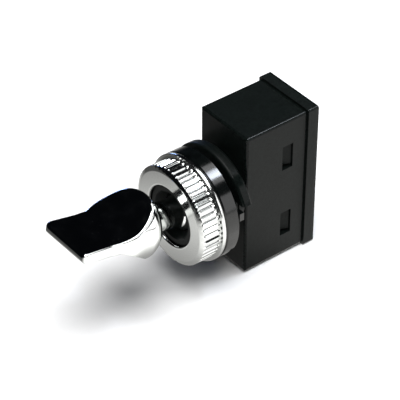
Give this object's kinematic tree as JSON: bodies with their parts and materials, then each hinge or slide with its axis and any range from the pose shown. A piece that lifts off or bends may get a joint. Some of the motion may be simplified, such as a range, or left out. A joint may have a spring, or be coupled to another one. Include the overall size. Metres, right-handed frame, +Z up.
{
  "type": "panel toggle switch",
  "caption": "Panel toggle switch with a bright duckbill lever, knurled bezel nut, slim black case and rear screw terminals.",
  "frame": {"origin": "on the threaded nose's axis, in the plane of the panel seat (front face of the back ring)", "axes": "+Y runs back from the panel seat to the terminals, the lever points to -Y, +Z is up along the long side of the case, +X is across it; the lever swings about X"},
  "size_m": [0.0208, 0.0538, 0.0308],
  "materials": {
    "case_plastic": "satin black moulding with a fine spark-eroded grain",
    "ring_plastic": "glossy black moulding",
    "nut_chrome": "bright plated brass",
    "lever_chrome": "bright plated zinc casting",
    "pin_steel": "plain steel",
    "nylon": "natural nylon",
    "spring_steel": "drawn spring wire",
    "contact_brass": "blanked brass strip",
    "silver": "silver contact face",
    "base_plastic": "black glass-filled moulding",
    "screw_steel": "zinc-plated steel"
  },
  "bodies": {
    "case": {"housing": "case_plastic", "back_ring": "ring_plastic", "bezel_nut": "nut_chrome", "pivot_pin": "pin_steel", "terminal_base": "base_plastic", "common_terminal": "contact_brass", "upper_terminal": "contact_brass", "lower_terminal": "contact_brass", "upper_fixed_contact": "silver", "lower_fixed_contact": "silver", "terminal_screws": "screw_steel", "terminal_nuts": "contact_brass", "wire_clamps": "screw_steel"},
    "toggle": {"lever": "lever_chrome", "plunger_spring": "spring_steel"},
    "plunger_body": {"plunger": "nylon"},
    "rocker_body": {"rocker": "contact_brass", "upper_moving_contact": "silver", "lower_moving_contact": "silver"}
  },
  "joints": [
    {"name": "lever_swing", "type": "hinge", "parent": "case", "child": "toggle", "pos_m": [0, -0.0016, 0], "axis": [1, 0, 0], "range_deg": [0, 23]},
    {"name": "plunger_stroke", "type": "slide", "parent": "toggle", "child": "plunger_body", "axis": [0, -0.9799, 0.1994], "range_m": [0, 0.0005], "stiffness_N_per_m": 200, "deforming": ["plunger_spring"]},
    {"name": "rocker_tilt", "type": "hinge", "parent": "case", "child": "rocker_body", "pos_m": [0, 0.01445, 0], "axis": [1, 0, 0], "range_deg": [-14, 0]}
  ],
  "couplings": [
    {"joint": "rocker_tilt", "follows": "lever_swing", "ratio": -0.6087}
  ]
}
